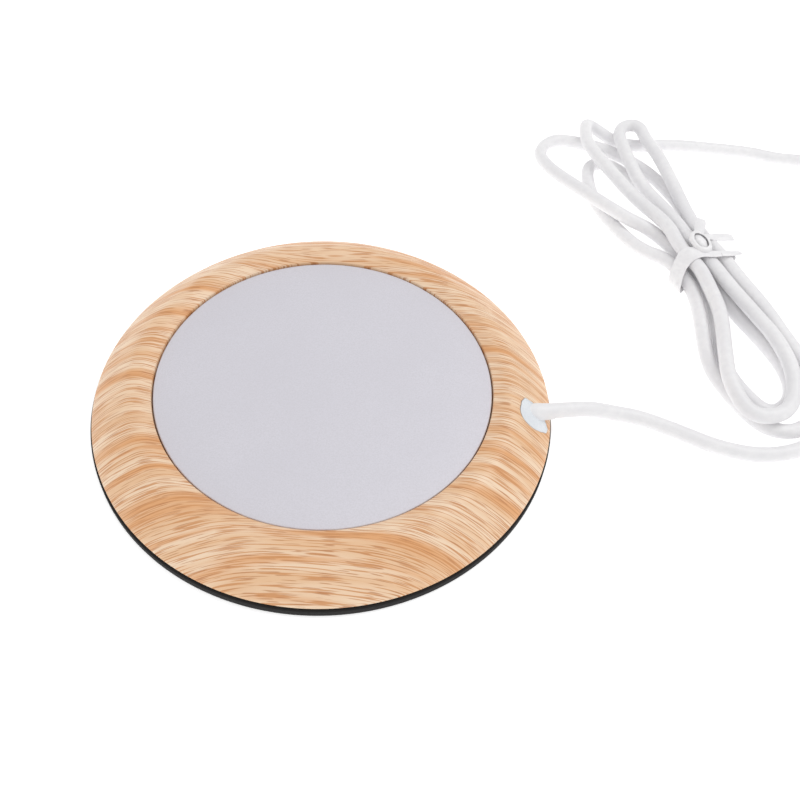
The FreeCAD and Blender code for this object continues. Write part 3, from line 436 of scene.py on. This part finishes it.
# Ring: turned foot, bulged slope, rounded crown, lip and ledge, with the collar's pocket cut in (mm)
SEGMENTS = 256
OUTER, LAND_TOP = 57.5, 2.7
FOOT_INNER, FOOT_BOTTOM, FOOT_TOP = 54.0, 2.2, 3.9
CROWN_RADIUS, CROWN_HEIGHT, CROWN_ROUND = 46.4, 11.3, 2.3
SLOPE_BULGE, SLOPE_POINTS, SLOPE_END = 0.75, 9, 0.83
LIP_RADIUS, LIP_HEIGHT, LIP_ROUND = 42.15, 9.5, 0.25
LEDGE_RADIUS, LEDGE_TOP, LEDGE_BOTTOM = 38.85, 6.9, 5.5
HOLLOW_RADIUS, HOLLOW_TOP = 44.4, 9.4
FOOT_ROUND = 0.2


def slope_stations():
    """Points up the slope's shallow arc, ending short of the crown's rounding."""
    start, end = Vector((OUTER, LAND_TOP)), Vector((CROWN_RADIUS, CROWN_HEIGHT))
    outward = Vector((end.y - start.y, start.x - end.x)).normalized()
    points = []
    for i in range(1, SLOPE_POINTS + 1):
        share = SLOPE_END * i / SLOPE_POINTS
        lift = SLOPE_BULGE * 4 * share * (1 - share)
        station = start.lerp(end, share) + outward * lift
        points.append((station.x, station.y))
    return points


def near(radius, height, slack=0.05):
    """A test for corners on one round edge (mm)."""
    return lambda place: (abs(math.hypot(place.x, place.y) / MM - radius) < slack
                          and abs(place.z / MM - height) < slack)


ring = turned("ring", [(FOOT_INNER, FOOT_BOTTOM), (OUTER, FOOT_BOTTOM), (OUTER, LAND_TOP),
                       *slope_stations(), (CROWN_RADIUS, CROWN_HEIGHT), (LIP_RADIUS, LIP_HEIGHT),
                       (LIP_RADIUS, LEDGE_TOP), (LEDGE_RADIUS, LEDGE_TOP), (LEDGE_RADIUS, LEDGE_BOTTOM),
                       (HOLLOW_RADIUS, LEDGE_BOTTOM), (HOLLOW_RADIUS, HOLLOW_TOP),
                       (CROWN_RADIUS, HOLLOW_TOP), (FOOT_INNER, FOOT_TOP), (FOOT_INNER, FOOT_BOTTOM)],
              SEGMENTS)
round_off(ring, near(CROWN_RADIUS, CROWN_HEIGHT), CROWN_ROUND, 10)
round_off(ring, near(LIP_RADIUS, LIP_HEIGHT), LIP_ROUND, 3)
round_off(ring, near(OUTER, FOOT_BOTTOM), FOOT_ROUND, 2)
round_off(ring, near(OUTER, LAND_TOP), FOOT_ROUND, 2)

CORD_ROOT = Vector((0.0533, -0.0019, 0.0063))
CORD_AXIS = Vector((0.985, 0.17, 0.0)).normalized()
COLLAR_PLACE = Vector((0.0524, -0.00415, 0.0))
POCKET_RADIUS, POCKET_FLOOR, POCKET_TOP = 3.92, 3.85, 12.0
BORE_RADIUS, BORE_BACK, BORE_LENGTH = 2.3, 2.2, 8.8
# The collar's outline: an angle, and how far it reaches as a share of its radius
COLLAR_OUTLINE = [(-180, 1.0), (-160, 0.9), (-130, 0.82), (-105, 0.91), (-80, 1.08), (-60, 1.24),
                  (-45, 1.14), (-20, 0.98), (28, 0.97), (70, 0.93), (107, 0.93), (130, 0.98), (150, 1.12),
                  (166, 1.09), (180, 1.0)]


def leaf_shaped(piece):
    """Draws a round piece out to the collar's outline, which comes to a soft point at each end."""
    for corner in piece.data.vertices:
        angle = math.degrees(math.atan2(corner.co.y, corner.co.x))
        for (start, before), (end, after) in zip(COLLAR_OUTLINE, COLLAR_OUTLINE[1:]):
            if start <= angle <= end:
                share = (angle - start) / (end - start)
                reach = before + (after - before) * share * share * (3 - 2 * share)
                corner.co.x *= reach
                corner.co.y *= reach
                break
    return piece


pocket = turned("pocket", [(POCKET_RADIUS, POCKET_FLOOR), (POCKET_RADIUS, POCKET_TOP)], 96)
carve(ring, stand(leaf_shaped(cap_ends(pocket)), COLLAR_PLACE, (0, 0, 1)))
bore = cap_ends(turned("bore", [(BORE_RADIUS, 0.0), (BORE_RADIUS, BORE_LENGTH)], 48))
carve(ring, stand(bore, CORD_ROOT - CORD_AXIS * BORE_BACK * MM, CORD_AXIS))
smooth(ring)
fitted(ring, WOOD_FILM, "wood_film_abs", "wood_ring")


def slope_height(radius):
    """Height of the slope at a radius (mm)."""
    steps = [(OUTER, LAND_TOP), *slope_stations()]
    for (outer, low), (inner, high) in zip(steps, steps[1:]):
        if inner <= radius <= outer:
            return low + (high - low) * (outer - radius) / (outer - inner)
    return steps[-1][1] if radius < steps[-1][0] else LAND_TOP


def lay_on_slope(piece, floor):
    """Lifts each corner by the slope's height below it, and keeps it above the floor (mm)."""
    for corner in piece.data.vertices:
        lift = slope_height(math.hypot(corner.co.x, corner.co.y) / MM)
        corner.co.z = max(corner.co.z + lift * MM, floor * MM)
    return piece


# Collar: a soft plug whose face follows the slope, with a thin raised rim. Heights are from the slope.
COLLAR_FLOOR = 3.9
collar = turned("collar", [(3.8, -4.0), (3.8, -0.06), (3.77, 0.05), (3.69, 0.11), (3.58, 0.12), (3.48, 0.07),
                           (3.4, -0.02), (3.3, -0.04), (2.6, -0.03), (1.8, -0.02), (0.9, -0.01), (0, 0)], 96)
collar = leaf_shaped(cap_ends(collar))
stand(collar, COLLAR_PLACE, (0, 0, 1))
lay_on_slope(collar, COLLAR_FLOOR)
smooth(collar, 50)
fitted(collar, COLLAR_PVC, "collar_grey", "cord_grommet")

# Cord root: the cord's jacket swells a little where the collar grips it
root = turned("cord_root", [(1.9, -1.8), (2.2, -1.1), (2.32, -0.3), (2.28, 0.6), (2.18, 1.7), (2.1, 2.8),
                            (2.05, 3.9), (2.01, 4.6)], 48)
root = cap_ends(root)
stand(root, CORD_ROOT, CORD_AXIS)
smooth(root, 60)
fitted(root, CORD_PVC, "white_pvc")


# Plate and mat, with rounded rims (mm)
PLATE_TOP, MAT_TOP = 9.0, 2.0
MAT_PLACE = (0.0, -0.3 * MM, 0.0)
plate = turned("plate", [(41.5, 7.5), (41.7, 7.52), (41.8, 7.6), (41.8, 8.7), (41.78, 8.8),
                         (41.71, 8.91), (41.6, 8.98), (41.45, PLATE_TOP), (30.0, PLATE_TOP),
                         (15.0, PLATE_TOP), (0, PLATE_TOP)], SEGMENTS)
plate = cap_ends(plate)
smooth(plate, 30)
fitted(plate, PLATE, "anodised_aluminium", "heating_plate")

mat = turned("mat", [(57.4, 0.0), (57.65, 0.06), (57.8, 0.22), (57.8, 1.75), (57.73, 1.92),
                     (57.55, MAT_TOP), (40.0, MAT_TOP), (0, MAT_TOP)], SEGMENTS)
mat = cap_ends(mat)
stand(mat, MAT_PLACE, (0, 0, 1))
smooth(mat, 30)
fitted(mat, MAT_RUBBER, "black_foam", "anti_slip_mat")


# Tie: a band of milky film round the strands, a knot on top and its loose ends
TIE_PLACE = Vector((0.103, 0.061, 0.0))
TIE_TURN = math.radians(30)
FILM_THICKNESS, FILM_REST = 0.2, 0.12       # its middle lies this far above the table, mm
KNOT_PLACE, KNOT_TILT = (-0.2, 1.5, 9.9), 0.12
KNOT_SPREAD, STRAP_SPREAD = (1.72, 2.85, 1.25), (1, 1.5, 1)
# Stations of the film (mm): x, y, z, width and how far its edges curl down
BAND_STATIONS = [(-3.2, -2, 0.22, 4.6, 0), (-8.1, -3.2, 0.3, 4.8, 0), (-10.8, -4.6, 0.8, 5.2, 0),
                 (-11.7, -4.8, 2.41, 5.4, 0), (-10.8, -3.4, 4.37, 5.2, 0), (-8.8, -1.6, 5.95, 5, 0),
                 (-7, -0.5, 7.75, 5.2, 0), (-5, -0.5, 9.35, 5.2, 0), (-2.3, -1.4, 9.6, 4.4, 0),
                 (0.4, -3.5, 9.65, 2.9, 0), (2.8, -4.7, 9.6, 2.2, 0), (5.3, -5.1, 9.55, 1.9, 0),
                 (7.5, -5, 8.35, 1.9, 0), (9.1, -4.4, 5.95, 2.2, 0), (9.4, -3.4, 3.17, 2.8, 0),
                 (8.7, -3, 0.9, 3.6, 0), (5.9, -2.4, 0.24, 4.4, 0), (1.1, -2, 0.22, 4.6, 0),
                 (-3.2, -2, 0.22, 4.6, 0)]
STRIP_STATIONS = [(2.6, -5, 9.8, 1.4, 0.1), (4.4, -5.5, 9.9, 1.7, 0.2), (6.4, -5.8, 9.75, 1.9, 0.3),
                  (8.2, -5.7, 9.05, 2, 0.3), (9.6, -5.3, 8.45, 2.1, 0.2)]
TAIL_STATIONS = [(1.6, 2.4, 9.8, 1.6, 0.2), (3.6, 2.9, 9.7, 2.4, 0.3), (6, 2.6, 9.15, 3, 0.3),
                 (8.4, 1.8, 8.75, 3.2, 0.3), (10.4, 1, 8.55, 3.1, 0.2), (11.8, 0.4, 8.45, 2.8, 0.1)]
STUB_STATIONS = [(0.6, 3.4, 10.15, 2, 0.2), (1.9, 5, 10.75, 2.8, 0.4), (3.3, 6.5, 11.05, 3.2, 0.5),
                 (4.6, 7.9, 11.05, 3, 0.4), (5.6, 9, 10.75, 2.4, 0.2)]


def crumple(piece, pitch, depth):
    """Presses small random folds into a piece of film (mm)."""
    folds = bpy.data.textures.new(piece.name + "_folds", "CLOUDS")
    folds.noise_scale = pitch * MM
    folds.noise_depth = 1
    modify(piece, "DISPLACE", texture=folds, texture_coords="LOCAL", strength=depth * MM, mid_level=0.5)
    return piece


def film_sheet(name, stations, pitch, depth, flat_width):
    """A strip of film through its stations, kept above the table.

    Its width lies along Y in the band that wraps the cords, or across the run in a loose end."""
    count = len(stations)
    bpy.ops.object.select_all(action="DESELECT")
    bpy.ops.mesh.primitive_grid_add(x_subdivisions=count - 1, y_subdivisions=8, size=2 * MM)
    sheet = started(name)
    places = [Vector(station[:3]) for station in stations]
    for corner in sheet.data.vertices:
        i = round((corner.co.x / MM + 1) / 2 * (count - 1))
        side = corner.co.y / MM
        run = places[min(i + 1, count - 1)] - places[max(i - 1, 0)]
        across = Vector((0, 1, 0)) if flat_width else Vector((-run.y, run.x, 0)).normalized()
        width, curl = stations[i][3:]
        corner.co = (places[i] + across * side * width / 2 - Vector((0, 0, curl * side * side))) * MM
    close_up(sheet)
    modify(sheet, "SUBSURF", levels=2, render_levels=2)
    crumple(sheet, pitch, depth)
    for corner in sheet.data.vertices:
        corner.co.z = max(corner.co.z, FILM_REST * MM)
    modify(sheet, "SOLIDIFY", thickness=FILM_THICKNESS * MM, offset=0.0)
    return sheet


def film_knot():
    """The knot: a bulge of gathered film with a strap pulled round it."""
    bpy.ops.object.select_all(action="DESELECT")
    bpy.ops.mesh.primitive_uv_sphere_add(segments=32, ring_count=20, radius=1 * MM, location=(0, 0, 0))
    bulge = started("tie_knot")
    bpy.ops.object.mode_set(mode="EDIT")
    bpy.ops.mesh.select_all(action="SELECT")
    bpy.ops.transform.resize(value=KNOT_SPREAD, center_override=(0, 0, 0))
    put_down()
    crumple(bulge, 1.6, 0.3)
    strap = turned("tie_strap", [(1.75, -0.9), (2.15, -0.75), (2.6, -0.35), (2.8, 0.3), (2.6, 0.85),
                                 (2.2, 1.05), (1.85, 0.95)], 48)
    bpy.ops.object.select_all(action="DESELECT")
    take(strap)
    bpy.ops.object.mode_set(mode="EDIT")
    bpy.ops.mesh.select_all(action="SELECT")
    bpy.ops.transform.resize(value=STRAP_SPREAD, center_override=(0, 0, 0))
    put_down()
    crumple(strap, 1.9, 0.7)
    modify(strap, "SOLIDIFY", thickness=0.25 * MM, offset=0.0)
    knot = joined([bulge, strap])
    knot.matrix_world = (Matrix.Translation(Vector(KNOT_PLACE) * MM)
                         @ Matrix.Rotation(KNOT_TILT, 4, "X"))
    take(knot)
    bpy.ops.object.transform_apply(location=True, rotation=True, scale=True)
    return knot


tie = joined([film_sheet("tie_band", BAND_STATIONS, 2.4, 0.5, True), film_knot(),
              film_sheet("tie_strip", STRIP_STATIONS, 2.4, 0.35, False),
              film_sheet("tie_tail", TAIL_STATIONS, 2.8, 0.5, False),
              film_sheet("tie_stub", STUB_STATIONS, 2.0, 0.7, False)])
tie.name = "cord_tie_film"
tie.matrix_world = Matrix.Translation(TIE_PLACE) @ Matrix.Rotation(TIE_TURN, 4, "Z")
take(tie)
bpy.ops.object.transform_apply(location=True, rotation=True, scale=True)
smooth(tie, 60)
fitted(tie, TIE_FILM, "tie_film", "cord_tie")


# Plug, made along X from the start of its sleeve and then set at the cord's end (mm along the plug)
PLUG_BACK = Vector((0.151, 0.113, 0.0038))
PLUG_HEADING = Vector((1.0, -0.02, 0.0)).normalized()
GRIP_START, GRIP_LENGTH, GRIP_WIDTH, GRIP_HEIGHT = 12.0, 24.0, 15.0, 7.6
GRIP_ROUND, THUMB_REST = 1.5, 0.35
SHELL_START, SHELL_LENGTH, SHELL_WIDTH, SHELL_HEIGHT, SHELL_WALL = 33.0, 15.0, 12.0, 4.5, 0.3
SHELL_FIT = 0.1


def on_plug(piece):
    piece.matrix_world = Matrix.Translation(PLUG_BACK) @ Matrix.Rotation(
        math.atan2(PLUG_HEADING.y, PLUG_HEADING.x), 4, "Z")
    take(piece)
    bpy.ops.object.transform_apply(location=True, rotation=True, scale=True)
    return piece


def plug_grip():
    """The moulded grip: rounded all over, narrower at the cord, a shallow thumb rest above and below."""
    bpy.ops.object.select_all(action="DESELECT")
    bpy.ops.mesh.primitive_cube_add(size=1, location=((GRIP_START + GRIP_LENGTH / 2) * MM, 0, 0),
                                    scale=(GRIP_LENGTH * MM, GRIP_WIDTH * MM, GRIP_HEIGHT * MM))
    grip = started("plug_grip")
    pick(grip, "FACE", lambda middle, normal: normal.x < -0.9)
    bpy.ops.transform.resize(value=(1, 0.82, 0.86), center_override=(GRIP_START * MM, 0, 0))
    pick(grip, "EDGE", lambda end: True)
    bpy.ops.mesh.bevel(offset=GRIP_ROUND * MM, segments=5, profile=0.5, affect="EDGES")
    pick(grip, "FACE", lambda middle, normal: abs(normal.z) > 0.995 and abs(middle.y) < 5 * MM)
    bpy.ops.mesh.inset(thickness=GRIP_ROUND * MM, depth=0, use_individual=True)
    bpy.ops.mesh.inset(thickness=THUMB_REST * MM, depth=-THUMB_REST * MM, use_individual=True)
    close_up(grip)
    mouth_cutter("grip_mouth", grip, SHELL_START, 42.0, SHELL_WIDTH + SHELL_FIT, SHELL_HEIGHT + SHELL_FIT)
    return smooth(grip, 40)


def mouth_cutter(name, piece, start, end, width, height):
    """Cuts a square mouth along the plug (mm)."""
    bpy.ops.object.select_all(action="DESELECT")
    bpy.ops.mesh.primitive_cube_add(size=1, location=((start + end) / 2 * MM, 0, 0),
                                    scale=((end - start) * MM, width * MM, height * MM))
    carve(piece, started(name))


grip = on_plug(plug_grip())
fitted(grip, CORD_PVC, "white_pvc", "usb_grip")

# Strain relief of the plug: a tapered sleeve with five grooves
sleeve_profile = [(0.9, 0.0), (2.2, 0.0), (2.36, 0.25)]
for i in range(5):
    low = 1.1 + 1.9 * i
    outer = 2.4 + 0.5 * low / 12
    sleeve_profile += [(outer, low), (outer - 0.5, low + 0.25), (outer - 0.5, low + 0.75),
                       (outer + 0.06, low + 1.0)]
sleeve_profile += [(2.95, 12.0), (2.95, 13.5)]
sleeve = cap_ends(turned("plug_sleeve", sleeve_profile, 48))
sleeve.matrix_world = Matrix.Rotation(math.radians(90), 4, "Y")
take(sleeve)
bpy.ops.object.transform_apply(location=True, rotation=True, scale=True)
smooth(on_plug(sleeve), 40)
fitted(sleeve, CORD_PVC, "white_pvc")


def plug_shell():
    """The plug's steel tube, with two windows in each broad side and a folded seam below."""
    bpy.ops.object.select_all(action="DESELECT")
    bpy.ops.mesh.primitive_cube_add(size=1, location=((SHELL_START + SHELL_LENGTH / 2) * MM, 0, 0),
                                    scale=(SHELL_LENGTH * MM, SHELL_WIDTH * MM, SHELL_HEIGHT * MM))
    shell = started("plug_shell")
    pick(shell, "EDGE", lambda end: True)
    bpy.ops.mesh.select_all(action="DESELECT")
    mesh = bmesh.from_edit_mesh(shell.data)
    for edge in mesh.edges:
        edge.select_set(abs(edge.verts[0].co.x - edge.verts[1].co.x) > 5 * MM)
    bmesh.update_edit_mesh(shell.data)
    bpy.ops.mesh.bevel(offset=0.5 * MM, segments=4, profile=0.5, affect="EDGES")
    close_up(shell)
    mouth_cutter("shell_mouth", shell, 32.0, 49.0, SHELL_WIDTH - 2 * SHELL_WALL,
                 SHELL_HEIGHT - 2 * SHELL_WALL)
    for side in (-1, 1):
        bpy.ops.object.select_all(action="DESELECT")
        bpy.ops.mesh.primitive_cube_add(size=1, location=(42.3 * MM, side * 2.9 * MM, 0),
                                        scale=(2.0 * MM, 2.4 * MM, 9 * MM))
        carve(shell, started("shell_window"))
    bpy.ops.object.select_all(action="DESELECT")
    bpy.ops.mesh.primitive_cube_add(size=1, location=(44 * MM, 0, -SHELL_HEIGHT / 2 * MM),
                                    scale=(12 * MM, 0.12 * MM, 0.2 * MM))
    carve(shell, started("shell_seam"))
    return smooth(shell, 30)


shell = on_plug(plug_shell())
fitted(shell, NICKEL, "nickel_shell", "usb_shell")


# CAD nodes that keep their own shape
CARRIED = {
    "base_cover": COVER_ABS, "cover_screws": ZINC, "clamp_plate": ZINC, "clamp_screws": ZINC,
    "plate_gasket": SEAL, "heater_film": POLYIMIDE, "heater_track": TRACK, "heater_terminals": SOLDER,
    "insulation_pad": FELT, "thermostat_case": PHENOLIC, "thermostat_base": PHENOLIC,
    "moving_terminal": BRASS, "fixed_terminal": BRASS, "bimetal_blade": BIMETAL,
    "live_wire": RED_PVC, "link_wire": RED_PVC, "return_wire": BLACK_PVC,
    "usb_tongue": NYLON, "usb_contacts": GOLD,
    "anti_slip_mat": MAT_RUBBER, "wood_ring": WOOD_FILM, "heating_plate": PLATE, "cord_grommet": COLLAR_PVC,
    "cord_lead": CORD_PVC, "cord_hank": CORD_PVC, "cord_tail": CORD_PVC, "cord_tie": TIE_FILM,
    "usb_grip": CORD_PVC, "usb_shell": NICKEL,
}
for name, material in CARRIED.items():
    node = cad_nodes[name]
    node.data.materials.clear()
    node.data.materials.append(material)


# Floor and light: a bright white table in even studio light
put_down()
bpy.ops.mesh.primitive_plane_add(size=4, location=(0, 0, -0.0002))
table = bpy.context.object
table.name = "studio_table"
table_white = bpy.data.materials.new("studio_white")
table_white.use_nodes = True
table_shader = table_white.node_tree.nodes["Principled BSDF"]
for socket, value in {"Base Color": (0.9, 0.9, 0.9, 1), "Roughness": 0.9,
                      "Emission Color": (1, 1, 1, 1), "Emission Strength": 0.5}.items():
    table_shader.inputs[socket].default_value = value
table.data.materials.append(table_white)

world = bpy.data.worlds.new("studio")
world.use_nodes = True
background = world.node_tree.nodes["Background"]
background.inputs["Color"].default_value = (1, 1, 1, 1)
background.inputs["Strength"].default_value = 0.76
bpy.context.scene.world = world


def soft_light(name, place, aim, size, power):
    data = bpy.data.lights.new(name, "AREA")
    data.shape = "DISK"
    data.size = size
    data.energy = power
    lamp = bpy.data.objects.new(name, data)
    bpy.context.scene.collection.objects.link(lamp)
    lamp.location = place
    lamp.rotation_euler = (Vector(aim) - Vector(place)).to_track_quat("-Z", "Y").to_euler()


soft_light("key", (0.42, 0.25, 0.75), (0.04, 0.03, 0.0), 0.5, 1.75)
soft_light("fill", (-0.5, -0.4, 0.6), (0.04, 0.03, 0.0), 0.6, 0.5)
bpy.context.scene.view_settings.view_transform = "Standard"
